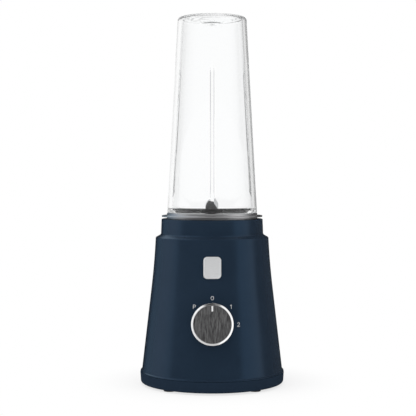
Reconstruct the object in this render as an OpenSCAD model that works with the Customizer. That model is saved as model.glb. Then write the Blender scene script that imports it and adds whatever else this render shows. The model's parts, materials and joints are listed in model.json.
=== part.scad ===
// Personal countertop blender: a flared motor base with a rotary speed knob, a lift-out blade holder
// and a clear bottle that stands upside down in it. Millimetres, +Z up, the knob faces -Y.
// The origin is on the table, on the axis that the motor, blades and bottle share.

/* [Base] */
// Largest radius of the band round the foot of the base
band_r = 65; // [64:0.5:67]
// Height of the band
band_h = 9.8; // [8.5:0.1:11]
// Gap that the rubber feet leave under the band
foot_lift = 1.7; // [1.4:0.1:3]
// Lean of the straight part of the base wall, in degrees
wall_lean = 6.67; // [6.2:0.01:7]
// Height at which the wall begins to curve towards upright
flare_z = 88; // [80:1:96]
// Height of the shoulder at the top of the wall
shoulder_z = 132.5; // [131.5:0.5:133]
// Thickness of the base mouldings
shell_t = 2.5; // [2:0.1:2.8]
// Outer radius of the collar at its mouth
collar_r = 45.7; // [45.5:0.1:46]
// Height of the collar's mouth
collar_z = 149.1; // [148.5:0.1:149.5]

/* [Cup seat] */
// Outer radius of the liner that the blade holder drops into
liner_r = 43; // [42.8:0.1:43.1]
// Thickness of the liner
liner_t = 1.6; // [1.2:0.1:1.7]
// Height of the underside of the seat's floor
seat_z = 122; // [121.5:0.1:122]
// Number of lugs and keyways that stop the blade holder from turning
lugs = 3; // [3]

/* [Bottle] */
// Overall height of the blender
top_z = 330.6; // [300:0.1:350]
// Outer radius of the bottle above its shoulder
bottle_r = 40.6; // [40:0.1:40.7]
// Lean of the bottle's wall, in degrees
bottle_lean = 3.14; // [2.5:0.01:3.5]
// Thickness of the bottle's wall
bottle_t = 3.8; // [3:0.1:4]
// Width of the flow ribs inside the bottle
rib_w = 2.7; // [2:0.1:4]
// Height at which the flow ribs end
rib_top_z = 286; // [250:1:300]

/* [Blade holder] */
// Outer radius of the steel flange
flange_r = 45.5; // [44:0.1:46]
// Radius of the steel ring under and over the flange
ring_r = 40.8; // [40.5:0.1:40.9]
// Reach of the blades from the axis
blade_reach = 27; // [22:0.5:29]

/* [Knob] */
// Radius of the knob
knob_r = 18.1; // [17.5:0.1:20]
// Height of the knob's axis on the wall
knob_z = 60.5; // [57:0.1:62]
// How far the knob stands out of the wall
knob_h = 11; // [10:0.1:13]

/* [Motor] */
// Width of the stator across its flats
stator_w = 56; // [54:0.5:58]
// Height of the laminated stack
stack_h = 30; // [26:1:30]
// Radius of the armature
armature_r = 15.3; // [15:0.1:15.4]
// Radius of the motor shaft
shaft_r = 4; // [3.8:0.05:4]

/* [Cord inlet] */
// Radius of the gland's bore for the mains lead
cord_r = 3.6; // [3:0.1:3.8]
// Height of the gland's axis
gland_z = 28; // [27:0.5:29]

/* [Hidden] */
$fn = 96;

run = 0.05;                        // radial play of a running fit
gap = 0.3;                         // play between pieces that move past each other
cut = 1;                           // how far a cutter reaches past the face that it cuts

cover_z = foot_lift;
band_top = foot_lift + band_h;
band_taper = 0.55;                 // how much the band narrows towards its foot
wall_z0 = band_top + 0.1;          // the housing's lower edge, over the crease
wall_foot_r = band_r - 1.345;
wall_slope = tan(wall_lean);
top_slope = 0.05;                  // slope that is left at the shoulder
flare_k = (wall_slope - top_slope) / (shoulder_z - flare_z);
spigot_r = wall_foot_r - 3;
post_angles = [20, 160, 200, 340];
post_r = 50;                       // distance of the cover's screw posts from the axis
post_top = 34;
foot_x = 37;
foot_y = 41;
foot_r = 5.4;

badge_z = 108.5;
badge_w = 15.4;
badge_h = 19;
badge_corner = 3.4;
badge_sink = 0.75;
boss_y = 64;                       // flat face that the gland's flange sits on
gland_end = 72.4;

seat_top = seat_z + 3;
liner_top = collar_z - 0.7;
lug_z = seat_top + 1;
lug_r = liner_r - liner_t - 0.4;
key_angle = 90;                    // the first lug is at the rear, over the interlock pin
third = 360 / lugs;
hanger_angles = [0, 120, 240];     // where the seat is screwed to the housing
mount_angles = [30, 150, 270];     // where the motor hangs from the seat
mount_r = 40;

holder_r = 38.6;
holder_t = 1.7;
holder_floor = 128;
ring_top = 154.4;
flange_z = 150.9;
flange_t = 1.4;
hub_r = 11;
hub_top = 146;

shoulder_bottle_z = ring_top + 0.3;
neck_r = 35.2;
neck_z = 133.2;
bottle_slope = tan(bottle_lean);
rib_d = 1.7;
thread_z = 141;

stack_z = 60;
bolt_xy = 20.5;
bearing_r = 11;
bearing_h = 7;
upper_z = 98;
lower_z = 36;
commutator_r = 10;
brush_z = 47;
socket_z = 110;
shaft_top = 114.4;
socket_r = 13;

pin_y = 39.2;
pin_r = 2;
pin_top = lug_z - gap;

function polar(r, a) = [r * cos(a), r * sin(a)];
function arc(x, y, r, a0, a1, n) = [for (i = [0 : n]) [x, y] + polar(r, a0 + (a1 - a0) * i / n)];

// Outer radius of the base wall: a straight cone that eases towards upright above flare_z.
function wall_r(z) = wall_foot_r - wall_slope * (z - band_top)
    + (z > flare_z ? flare_k * pow(z - flare_z, 2) / 2 : 0);
function bottle_out(z) = bottle_r - bottle_slope * (z - shoulder_bottle_z);
function wall_points(z0, z1, inset, n) =
    [for (i = [0 : n]) let (z = z0 + (z1 - z0) * i / n) [wall_r(z) - inset, z]];

module lathe(points) rotate_extrude() polygon(points);

module tube(r_out, r_in, z0, z1) translate([0, 0, z0]) difference() {
    cylinder(r = r_out, h = z1 - z0);
    translate([0, 0, -cut]) cylinder(r = r_in, h = z1 - z0 + 2 * cut);
}

module rod(r, z0, z1) translate([0, 0, z0]) cylinder(r = r, h = z1 - z0);

module box(x, y, z) translate([x[0], y[0], z[0]]) cube([x[1] - x[0], y[1] - y[0], z[1] - z[0]]);

module at_polar(r, angles) for (a = angles) rotate([0, 0, a]) translate([r, 0, 0]) children();

module at_corners(x, y) for (i = [-x, x], j = [-y, y]) translate([i, j, 0]) children();

// A segment of a ring, from angle a0 to a1.
module ring_part(r_out, r_in, z0, z1, a0, a1) rotate([0, 0, a0]) rotate_extrude(angle = a1 - a0)
    polygon([[r_in, z0], [r_out, z0], [r_out, z1], [r_in, z1]]);

// A screw with its head down: a pan head with a cross recess, and a plain shank.
module screw(head_r, head_h, shank_r, length) difference() {
    union() {
        lathe([[0, 0], [head_r - 0.6, 0], [head_r, 0.6], [head_r, head_h], [0, head_h]]);
        rod(shank_r, head_h, head_h + length);
    }
    reach = head_r * 0.6;
    for (a = [0, 90]) rotate([0, 0, a]) box([-reach, reach], [-0.4, 0.4], [-cut, head_h * 0.55]);
}

// Frame of the knob: local +Z leaves the wall along the knob's axis, and local +Y is up the wall.
module knob_frame() translate([0, -wall_r(knob_z), knob_z]) rotate([90 - wall_lean, 0, 0]) children();

// Frame of the badge, with local +Z out of the wall.
module badge_frame() translate([0, -wall_r(badge_z), badge_z])
    rotate([90 - atan(wall_slope - flare_k * (badge_z - flare_z)), 0, 0]) children();

// Frame of the cord gland: local +Z points out of the rear wall.
module gland_frame() translate([0, 0, gland_z]) rotate([-90, 0, 0]) children();

// ---- base: mouldings, feet and fasteners ----

module housing_shell() {
    inner_foot = spigot_r - 1.8;
    lathe(concat(
        [[inner_foot, band_top - 2.5], [spigot_r, band_top - 2.5], [spigot_r, wall_z0]],
        // the wall flares out into a lip, level with the band under it
        [[band_r - 0.3, wall_z0], [band_r - 0.05, wall_z0 + 0.3], [band_r - 0.35, wall_z0 + 0.7],
         [band_r - 1.1, wall_z0 + 1.2], [wall_r(wall_z0 + 2.3), wall_z0 + 2.3]],
        wall_points(flare_z, shoulder_z - 0.8, 0, 8),
        [[wall_r(shoulder_z) - 0.5, shoulder_z], [collar_r + 1.1, shoulder_z + 2.2],
         [collar_r + 0.6, shoulder_z + 3]],
        arc(collar_r - 0.5, collar_z - 0.5, 0.5, 0, 90, 3),
        [[liner_r + 0.6, collar_z], [liner_r + 0.2, collar_z - 0.4], [liner_r + 0.2, shoulder_z + 2.5],
         [wall_r(shoulder_z) - shell_t - 1, shoulder_z - 1.5]],
        wall_points(shoulder_z - 4, flare_z, shell_t, 6),
        [[wall_r(18) - shell_t, 18], [inner_foot, 15.5]]
    ));
}

module base_housing() color([0.125, 0.175, 0.23]) difference() {
    union() {
        housing_shell();
        // posts for the cover's screws, each tied to the wall by a web
        for (a = post_angles) rotate([0, 0, a]) {
            translate([post_r, 0, 0]) rod(4.2, band_top - 2.5, post_top);
            box([post_r, wall_r(post_top) - 1], [-1, 1], [17, post_top]);
        }
        // hangers that the seat is screwed up to
        intersection() {
            at_polar(liner_r + 3.2, hanger_angles) rod(2.9, seat_z + 2.5, shoulder_z + 0.5);
            lathe([[0, seat_z], [wall_r(seat_z) - 1, seat_z], [wall_r(shoulder_z) - 1, shoulder_z - 1.2],
                   [wall_r(shoulder_z) - 3, shoulder_z + 1], [0, shoulder_z + 1]]);
        }
        // pad that carries the knob and the rotary switch
        knob_frame() rod(knob_r - 1.4, -5, 0.3);
        // boss and shelf for the cord
        gland_frame() rod(9.5, 56, boss_y);
        box([-12, 12], [43, wall_r(gland_z) - 1], [gland_z - 7.5, gland_z - 3.5]);
    }
    at_polar(post_r, post_angles) rod(1.5, band_top - 4, post_top - 6);
    at_polar(liner_r + 3.2, hanger_angles) rod(1.3, seat_z, shoulder_z - 2);
    knob_frame() rod(4.6, -8, 2);
    gland_frame() {
        rod(6, 50, boss_y + cut);
        rod(7.8, 50, 56);
    }
    badge_frame() translate([0, 0, -badge_sink]) linear_extrude(3) plate(0);
    for (x = [-8.5, 8.5]) translate([x, 46, 0]) rod(1.3, gland_z - 9, gland_z);
}

module base_cover() color([0.12, 0.165, 0.22]) difference() {
    union() {
        lathe(concat(
            [[0, cover_z]],
            arc(band_r - band_taper - 2, cover_z + 2, 2, -90, 0, 6),
            [[band_r, band_top - 1.5], [band_r, band_top - 0.5], [band_r - 0.4, band_top - 0.1],
             [spigot_r + 0.3, band_top - 0.1], [spigot_r + 0.3, cover_z + 4.5],
             [spigot_r - 1.7, cover_z + 2.5], [0, cover_z + 2.5]]
        ));
        at_polar(post_r, post_angles) rod(5.2, cover_z + 1, band_top - 2.8);
    }
    at_polar(post_r, post_angles) {
        rod(3.6, cover_z - cut, cover_z + 3);
        rod(1.7, cover_z, band_top);
    }
    at_corners(foot_x, foot_y) {
        rod(foot_r + 0.1, cover_z - cut, cover_z + 1);
        rod(2, cover_z, cover_z + 3);
    }
    // air slots under the fan, either side of a middle bar
    for (x = [-24 : 6 : 24], side = [-1, 1]) {
        reach = sqrt(900 - x * x);
        translate([x - 1.3, side > 0 ? 2 : -reach, cover_z - cut]) cube([2.6, reach - 2, 5]);
    }
}

module feet() color([0.05, 0.05, 0.055]) at_corners(foot_x, foot_y)
    lathe([[0, 1], [3.2, 0.6], [3.8, 0], [4.8, 0], [foot_r, 0.6], [foot_r, cover_z + 1], [1.95, cover_z + 1],
           [1.95, cover_z + 2.6], [3, cover_z + 3.2], [2.2, cover_z + 4.6], [0, cover_z + 4.8]]);

module base_screws() color("silver") at_polar(post_r, post_angles) translate([0, 0, cover_z + 0.9])
    screw(3.3, 2.1, 1.45, 19);

// A plate with round corners, a raised rim and a plain middle, set in a shallow pocket in the wall.
module plate(inset) {
    x = badge_w / 2 - badge_corner;
    y = badge_h / 2 - badge_corner;
    square([2 * x, badge_h - 2 * inset], center = true);
    square([badge_w - 2 * inset, 2 * y], center = true);
    for (i = [-x, x], j = [-y, y]) translate([i, j]) circle(badge_corner - inset);
}
module badge() color([0.8, 0.81, 0.82]) badge_frame() difference() {
    translate([0, 0, -badge_sink]) linear_extrude(badge_sink + 1.3) plate(0);
    translate([0, 0, 0.8]) linear_extrude(2) plate(1.2);
}

module cord_gland() color([0.06, 0.06, 0.065]) gland_frame() difference() {
    lathe([[0, 53], [7.4, 53], [7.4, 55.8], [5.9, 55.8], [5.9, boss_y], [8, boss_y], [8, boss_y + 1],
           [7.4, boss_y + 1.6], [6, boss_y + 1.8], [5.7, boss_y + 3.4], [5, boss_y + 3.4],
           [5, boss_y + 4.4], [5.6, boss_y + 4.4], [5.3, boss_y + 6], [4.7, boss_y + 6],
           [4.7, boss_y + 7], [5.2, boss_y + 7], [5, gland_end], [0, gland_end]]);
    rod(cord_r, 50, 80);
}

module cord_clamp() color([0.1, 0.1, 0.1]) difference() {
    box([-12, 12], [43.2, 49], [gland_z - 3.5, gland_z + 6]);
    box([-4, 4], [40, 52], [gland_z - 4.5, gland_z + 3.4]);
    for (x = [-8.5, 8.5]) translate([x, 46, 0]) rod(1.6, gland_z - 5, gland_z + 8);
}

module clamp_screws() color("silver") for (x = [-8.5, 8.5])
    translate([x, 46, gland_z + 8.2]) mirror([0, 0, 1]) screw(2.8, 2.2, 1.25, 12.5);

// ---- seat that the blade holder drops into ----

module cup_seat() color([0.07, 0.07, 0.075]) difference() {
    union() {
        lathe([[16, seat_z - 6], [18, seat_z - 6], [18, seat_z], [liner_r + 5, seat_z],
               [liner_r + 5, seat_z + 2.3], [liner_r, seat_z + 2.3], [liner_r, liner_top - 0.4],
               [liner_r - 0.4, liner_top],
               [liner_r - liner_t + 0.5, liner_top], [liner_r - liner_t, liner_top - 0.6],
               [liner_r - liner_t, seat_top], [18, seat_top], [18, seat_top + 2], [16, seat_top + 2]]);
        // keyway ribs on both sides of each lug
        for (i = [0 : lugs - 1], side = [-1, 1]) rotate([0, 0, key_angle + i * third + side * 11.5])
            box([holder_r + 0.6, liner_r - 0.5], [-1.2, 1.2], [seat_top - 0.5, 140]);
        // pads that the holder's rim rests on
        at_polar(holder_r - 0.9, mount_angles) rod(1.2, seat_top - 0.5, lug_z - 0.1);
        // posts that the motor hangs from, and the guide of the interlock pin
        at_polar(mount_r, mount_angles) rod(4.4, 106.2, seat_z + 1);
        translate([0, pin_y, 0]) rod(5.2, 110.2, seat_z + 1);
    }
    at_polar(mount_r, mount_angles) rod(2.05, 104, 118);
    translate([0, pin_y, 0]) {
        rod(3.8, 104, seat_z);
        rod(pin_r + run, seat_z - cut, seat_top + cut);
    }
    at_polar(liner_r + 3.2, hanger_angles) rod(1.6, seat_z - cut, seat_z + 4);
    // drain slots in the floor, so that a spill doesn't pool round the drive
    for (a = [0, 180]) rotate([0, 0, a]) box([24, 33], [-1.5, 1.5], [seat_z - cut, seat_top + cut]);
}

module seat_screws() color("silver") at_polar(liner_r + 3.2, hanger_angles) translate([0, 0, seat_z - 1.9])
    screw(2.6, 1.9, 1.25, 8);

// ---- speed switch and knob ----

switch_w = 24;
face_z = knob_h - 0.8;
module rotary_switch() color([0.12, 0.12, 0.12]) knob_frame() difference() {
    union() {
        box([-switch_w / 2, switch_w / 2], [-switch_w / 2, switch_w / 2], [-19, -5]);
        rod(4.5, -6, 2.9);
        for (x = [-8, 0, 8]) box([x - 1.2, x + 1.2], [-7, -6.2], [-24, -18]);
        for (x = [-4, 4]) box([x - 1.2, x + 1.2], [6.2, 7], [-24, -18]);
    }
    rod(3 + run, -17.3, 6);
}

module switch_nut() color("silver") knob_frame() difference() {
    translate([0, 0, 0.35]) cylinder(r = 7.2, h = 2.2, $fn = 6);
    rod(4.55, -2, 5);
}

module switch_shaft() color("silver") knob_frame() difference() {
    rod(3, -17, face_z - 2);
    box([-4, 4], [1.6, 4], [3.6, face_z]);
}

module knob_body() color([0.85, 0.86, 0.87]) knob_frame() difference() {
    lathe(concat(
        [[0, 3.6], [5.6, 3.6], [5.6, 6.6], [knob_r - 2.2, 6.6], [knob_r - 2.2, 0.9], [knob_r - 0.3, 0.9],
         [knob_r, 1.2]],
        arc(knob_r - 1, knob_h - 1, 1, 0, 90, 4),
        [[knob_r - 1.7, knob_h], [knob_r - 2.1, knob_h - 0.4], [knob_r - 2.1, face_z - 0.8],
         [0, face_z - 0.8]]
    ));
    difference() {
        rod(3, 2, face_z - 2);
        box([-4, 4], [1.6, 4], [1, face_z]);
    }
}

module pointer_shape(grow) translate([0, knob_r - 4.8]) square([1.7 + grow, 4.8 + grow], center = true);

module knob_face() color([0.3, 0.3, 0.31]) knob_frame() difference() {
    rod(knob_r - 2.15, face_z - 0.8, face_z);
    translate([0, 0, face_z - 0.4]) linear_extrude(2) pointer_shape(0.02);
}

module knob_pointer() color("white") knob_frame() translate([0, 0, face_z - 0.4]) linear_extrude(0.48)
    pointer_shape(0);

// ---- motor: standing parts ----

module upper_bracket() color([0.65, 0.66, 0.68]) difference() {
    union() {
        rod(34, upper_z, upper_z + 3);
        rod(14, upper_z, 107);
        at_corners(bolt_xy, bolt_xy) rod(4.2, stack_z + stack_h, upper_z + 1);
        for (a = mount_angles) rotate([0, 0, a]) {
            box([28, mount_r], [-6.5, 6.5], [upper_z, upper_z + 3]);
            translate([mount_r, 0, 0]) rod(6.5, upper_z, upper_z + 3);
        }
    }
    rod(shaft_r + 2, upper_z - cut, 110);
    rod(bearing_r, upper_z + 1.5, 110);
    at_corners(bolt_xy, bolt_xy) rod(2.1, stack_z, 104);
    at_polar(mount_r, mount_angles) rod(4.1, upper_z - cut, 104);
    at_polar(24, [0, 90, 180, 270]) rod(5, upper_z - cut, 104);
}

module lower_bracket() color([0.65, 0.66, 0.68]) difference() {
    union() {
        rod(33, lower_z, lower_z + 3);
        rod(14, 31, lower_z + 3);
        at_corners(bolt_xy, bolt_xy) rod(4.2, lower_z, stack_z);
    }
    rod(shaft_r + 2, 30, 44);
    rod(bearing_r, 30, 31 + bearing_h);
    at_corners(bolt_xy, bolt_xy) rod(2.1, lower_z - cut, stack_z + cut);
    at_polar(24, [90, 270]) rod(5, lower_z - cut, 44);
}

module motor_screws() color("silver") at_corners(bolt_xy, bolt_xy) translate([0, 0, lower_z - 2.4])
    screw(3.8, 2.4, 2, 64.5);

module motor_mounts() color([0.05, 0.05, 0.05]) at_polar(mount_r, mount_angles)
    lathe([[2.2, 95.4], [6, 95.4], [6, upper_z], [4, upper_z], [4, upper_z + 3], [6, upper_z + 3],
           [6, 106], [2.2, 106]]);

module mount_screws() color("silver") at_polar(mount_r, mount_angles) translate([0, 0, 93.2])
    screw(4.2, 2.2, 2, 21);

module stator() color([0.45, 0.46, 0.48]) translate([0, 0, stack_z]) linear_extrude(stack_h) difference() {
    intersection() {
        square(stator_w, center = true);
        circle(r = 33);
    }
    circle(r = armature_r + 0.6);
    // windows for the coils, behind the pole tips
    difference() {
        circle(r = 24.5);
        circle(r = 18);
        square([60, 20], center = true);
    }
    // gaps between the pole tips
    square([9, 42], center = true);
    for (x = [-bolt_xy, bolt_xy], y = [-bolt_xy, bolt_xy]) translate([x, y]) circle(r = 2.1);
}

module field_coils() color([0.72, 0.38, 0.2]) for (side = [0, 180]) rotate([0, 0, side]) difference() {
    box([15.2, 18.3], [-15.4, 15.4], [54, 96]);
    box([14, 20], [-10.2, 10.2], [stack_z - 0.2, stack_z + stack_h + 0.2]);
    // the coil's ends are bent clear of the stack's corners
    for (y = [-1, 1], z = [-1, 1]) translate([14, y * 15.4, 75 + z * 21]) rotate([45, 0, 0])
        cube([10, 4, 4], center = true);
}

module bearing(z) {
    color("silver") translate([0, 0, z]) {
        tube(bearing_r, bearing_r - 2, 0, bearing_h);
        tube(bearing_r - 1.9, shaft_r + 1.9, 0.8, bearing_h - 0.8);
        tube(shaft_r + 2, shaft_r + run, 0, bearing_h);
    }
}
module upper_bearing() bearing(upper_z + 1.5);
module lower_bearing() bearing(31);

module brush_holders() color([0.75, 0.6, 0.25]) for (side = [0, 180]) rotate([0, 0, side]) difference() {
    union() {
        box([12.6, 28.5], [-4.6, 4.6], [brush_z - 4.4, brush_z + 4.4]);
        box([13, 27], [-6.5, 6.5], [lower_z + 3, brush_z - 4.4]);
    }
    box([12, 27.3], [-3.1, 3.1], [brush_z - 2.6, brush_z + 2.6]);
}

module brushes() color([0.18, 0.18, 0.19]) for (side = [0, 180]) rotate([0, 0, side])
    box([commutator_r + gap, 23.5], [-3, 3], [brush_z - 2.5, brush_z + 2.5]);

// ---- motor: turning parts ----

module motor_shaft() color("silver") rod(shaft_r, 13.5, shaft_top);

module armature_core() color([0.42, 0.43, 0.45]) translate([0, 0, stack_z]) linear_extrude(stack_h)
    difference() {
        circle(r = armature_r);
        circle(r = shaft_r);
        for (i = [0 : 11]) rotate(i * 30) {
            translate([9, -0.6]) square([10, 1.2]);
            translate([11, 0]) circle(r = 1.9);
        }
    }

module armature_windings() color([0.72, 0.38, 0.2]) {
    for (z = [stack_z - 6.6, stack_z + stack_h + 0.1]) translate([0, 0, z])
        lathe([[shaft_r, 0], [11, 0], [13, 1.6], [13.6, 3.4], [13, 5.2], [11, 6.5], [shaft_r, 6.5]]);
    for (i = [0 : 11]) rotate([0, 0, i * 30]) translate([11, 0, 0])
        rod(1.7, stack_z - 3, stack_z + stack_h + 3);
}

module commutator() color([0.78, 0.45, 0.25]) difference() {
    tube(commutator_r, shaft_r, 42.5, 52.5);
    for (i = [0 : 23]) rotate([0, 0, i * 15]) box([commutator_r - 1, 12], [-0.3, 0.3], [42, 51]);
}

module cooling_fan() color([0.2, 0.2, 0.21]) difference() {
    union() {
        rod(8, 14, 28.5);
        rod(27, 24.5, 26);
        for (i = [0 : 8]) rotate([0, 0, i * 40]) translate([7, 0, 15]) rotate([0, 0, 18]) cube([20, 1.4, 10]);
    }
    rod(shaft_r, 10, 30);
}

// Toothed outline shared by the drive socket and the coupling that drops into it.
module star(r, grow) {
    circle(r = r * 0.62 + grow);
    for (i = [0 : 5]) rotate(i * 60) translate([0, -1.9 - grow]) square([r + grow, 3.8 + 2 * grow]);
}

module drive_coupling() color([0.1, 0.1, 0.1]) difference() {
    union() {
        rod(socket_r, socket_z, seat_z + 1);
        rod(15, socket_z, socket_z + 1.6);
    }
    rod(shaft_r, socket_z - cut, shaft_top);
    translate([0, 0, shaft_top]) linear_extrude(20) star(8.5, 0.4);
}

// ---- interlock ----

module interlock_switch() color([0.15, 0.15, 0.16]) translate([0, pin_y, 0]) difference() {
    union() {
        box([-10, 10], [-3.2, 3.2], [95, 105.5]);
        box([-7.5, 7.5], [-5.2, 5.2], [107.7, 110]);
        for (x = [-9.2, 9.2]) box([x - 0.8, x + 0.8], [-3.2, 3.2], [104, 110]);
        for (x = [-9.2, 9.2]) box([min(x, x / 1.4), max(x, x / 1.4)], [-3.2, 3.2], [107.7, 110]);
    }
    rod(pin_r + gap, 105, 112);
}

module interlock_pin() color([0.75, 0.2, 0.15]) translate([0, pin_y, 0])
    lathe([[0, 109], [1.4, 109], [pin_r, 109.6], [pin_r, 119.2], [3.4, 119.2], [3.4, seat_z - gap],
           [pin_r, seat_z - gap],
           [pin_r, pin_top - 0.6], [pin_r - 0.6, pin_top], [0, pin_top]]);

spring_r = 2.9;
spring_wire = 0.35;
spring_z = [110.5, 118.7];
spring_turns = 5;
function spring_point(t) = [spring_r * cos(t * 360), pin_y + spring_r * sin(t * 360),
    spring_z[0] + (spring_z[1] - spring_z[0]) * t / spring_turns];
module interlock_spring() color("silver")
    sweep([for (i = [0 : spring_turns * 12]) spring_point(i / 12)], spring_wire, 6);

// ---- swept wires ----

function unit(v) = v / norm(v);
function ring_at(p, dir, r, sides) =
    let (other = abs(dir[2]) > 0.9 * norm(dir) ? [1, 0, 0] : [0, 0, 1],
         side = unit(cross(dir, other)), up = unit(cross(side, dir)))
    [for (k = [0 : sides - 1]) p + r * (side * cos(k * 360 / sides) + up * sin(k * 360 / sides))];
module sweep(path, r, sides) {
    n = len(path);
    rings = [for (i = [0 : n - 1]) ring_at(path[i], path[min(i + 1, n - 1)] - path[max(i - 1, 0)], r, sides)];
    polyhedron(
        points = [for (ring = rings) each ring],
        faces = concat(
            [[for (k = [sides - 1 : -1 : 0]) k]],
            [for (i = [0 : n - 2], k = [0 : sides - 1]) let (a = i * sides, m = (k + 1) % sides)
                [a + k, a + m, a + sides + m, a + sides + k]],
            [[for (k = [0 : sides - 1]) (n - 1) * sides + k]]
        )
    );
}

// A smooth line through four corners, as a cubic curve.
function bezier(p, n) = [for (i = [0 : n]) let (t = i / n, s = 1 - t)
    s * s * s * p[0] + 3 * s * s * t * p[1] + 3 * s * t * t * p[2] + t * t * t * p[3]];
module wire(corners) sweep(bezier(corners, 14), 1, 6);
module wiring() {
    color([0.6, 0.15, 0.1]) wire([[8, -33.7, 50.8], [24, -34, 50], [54, -26, 26], [34, 21, 17]]);
    color([0.1, 0.25, 0.6]) wire([[-8, -33.7, 50.8], [-24, -34, 50], [-54, -26, 26], [-34, 21, 17]]);
    color([0.6, 0.15, 0.1]) wire([[34, 6, 70], [44, 10, 76], [40, 34, 84], [12, 38, 93]]);
    color([0.9, 0.85, 0.8]) wire([[-12, 38, 93], [-46, 34, 80], [-44, 20, 40], [-36, 28, 17]]);
}

module terminal_block() color([0.85, 0.85, 0.8]) difference() {
    box([-40, -26], [21, 33], [cover_z + 2.7, 15]);
    for (x = [-37, -33, -29]) translate([x, 27, 0]) rod(1.2, 9, 20);
}

module noise_capacitor() color([0.75, 0.65, 0.2]) box([26, 40], [22, 31], [cover_z + 2.7, 15.5]);

// ---- blade holder ----

module blade_holder() color([0.09, 0.09, 0.095]) {
    inner = holder_r - holder_t;
    difference() {
        lathe([[0, 127], [hub_r, 127], [hub_r, holder_floor], [inner, holder_floor], [inner, lug_z],
               [holder_r, lug_z], [holder_r, ring_top - 0.4], [inner, ring_top - 0.4],
               [inner, holder_floor + 3],
               [hub_r + 1, holder_floor + 3], [hub_r, holder_floor + 4], [hub_r, hub_top - 1],
               [hub_r - 1, hub_top], [0, hub_top]]);
        rod(4.6, 120, 150);
        rod(7, 129.5, 150);
    }
    // lugs that drop into the seat's keyways
    for (i = [0 : lugs - 1]) rotate([0, 0, key_angle + i * third])
        ring_part(lug_r, holder_r - 0.4, lug_z, lug_z + 3, -6.5, 6.5);
    // thread segments that hold the bottle
    for (i = [0 : lugs - 1]) rotate([0, 0, key_angle + i * third])
        ring_part(inner + 0.4, neck_r + 0.4, thread_z + 2.3, thread_z + 4.3, -22, 22);
}

module holder_ring() color([0.78, 0.79, 0.8])
    lathe([[holder_r, 146], [ring_r - 0.3, 146], [ring_r, 146.3], [ring_r, flange_z],
           [flange_r - 0.3, flange_z], [flange_r, flange_z + 0.3],
           [flange_r, flange_z + flange_t - 0.3], [flange_r - 0.3, flange_z + flange_t],
           [ring_r, flange_z + flange_t], [ring_r, ring_top - 0.3], [ring_r - 0.3, ring_top],
           [holder_r - holder_t, ring_top], [holder_r - holder_t, ring_top - 0.4],
           [holder_r, ring_top - 0.4]]);

module bottle_seal() color([0.82, 0.83, 0.84]) tube(36.6, 32.4, holder_floor + 3, neck_z - 0.2);

module blade_bearing() color([0.7, 0.5, 0.3]) tube(7, 3.5 + run, 129.5, 142.8);

module shaft_seal() color([0.6, 0.15, 0.12]) tube(7, 3.5 + run, 142.8, 145.8);

module blade_shaft() color("silver") {
    rod(3.5, 118, 158);
    tube(5.6, 3.4, 146.4, 147.6);
}

module blade_coupling() color([0.1, 0.1, 0.1]) difference() {
    translate([0, 0, 115.2]) linear_extrude(11) star(8.5, 0);
    rod(3.5, 118, 130);
}

// Two wings on a flat hub, each bent by bend degrees, with a slanted edge that ends in a point.
blade_t = 1.4;
hub_reach = 8.6;                   // where the bend begins
module blade_side(bend) {
    rise = (blade_reach - hub_reach) * tan(bend);
    crook = hub_reach - blade_t * tan(bend / 2);
    tip = [blade_reach - blade_t * sin(bend), rise + blade_t * cos(bend)];
    rotate([90, 0, 0]) linear_extrude(20, center = true) polygon([
        [-blade_reach, rise], [-hub_reach, 0], [hub_reach, 0], [blade_reach, rise],
        tip, [crook, blade_t], [-crook, blade_t], [-tip[0], tip[1]]
    ]);
}
module blade(z, bend, turn) translate([0, 0, z]) rotate([0, 0, turn]) intersection() {
    blade_side(bend);
    translate([0, 0, -20]) linear_extrude(50) difference() {
        union() {
            circle(r = 7);
            for (a = [0, 180]) rotate(a) polygon([[0, -5.8], [blade_reach - 5, -5.8], [blade_reach - 0.4, -3],
                [blade_reach - 1.2, 0.6], [blade_reach - 8, 4.6], [0, 5.8]]);
        }
        circle(r = 3.5);
    }
}
module blade_lower() color([0.8, 0.81, 0.82]) blade(147.8, -12, 0);
module blade_upper() color([0.8, 0.81, 0.82]) blade(149.4, 42, 90);

module blade_nut() color("silver") difference() {
    union() {
        translate([0, 0, 151]) cylinder(r = 6.2, h = 4.4, $fn = 6);
        lathe(concat([[0, 155]], arc(0, 155.2, 4.6, 0, 90, 6)));
    }
    rod(3.5, 150, 158);
}

// ---- bottle ----

end_t = 3.2;                       // thickness of the closed end
edge_r = 3;                        // round of the closed end's edge
end_pad_r = 10.6;                  // shallow disc moulded inside the closed end
end_pad_h = 0.8;

module bottle_solid() lathe(concat(
    [[0, neck_z], [neck_r, neck_z], [neck_r, shoulder_bottle_z], [bottle_r - 0.6, shoulder_bottle_z],
     [bottle_r, shoulder_bottle_z + 0.6]],
    arc(bottle_out(top_z) - edge_r, top_z - edge_r, edge_r, 3, 90, 8),
    [[0, top_z]]
));

module bottle_hollow() {
    end_z = top_z - end_t;
    lathe(concat(
        [[0, neck_z - cut], [neck_r - bottle_t, neck_z - cut], [neck_r - bottle_t, shoulder_bottle_z - 1],
         [bottle_r - bottle_t, shoulder_bottle_z + 3]],
        arc(bottle_out(end_z) - bottle_t - edge_r, end_z - edge_r, edge_r, 3, 90, 6),
        // the disc and the gate's nub hang from the end
        [[end_pad_r, end_z], [end_pad_r, end_z - end_pad_h], [1.3, end_z - end_pad_h],
         [1, end_z - end_pad_h - 1.1], [0, end_z - end_pad_h - 1.3]]
    ));
}

// The space inside a wall that lies inset from the bottle's outside.
module bottle_core(inset) lathe([[0, 140], [bottle_out(140) - inset, 140], [bottle_out(320) - inset, 320],
    [0, 320]]);

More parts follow.
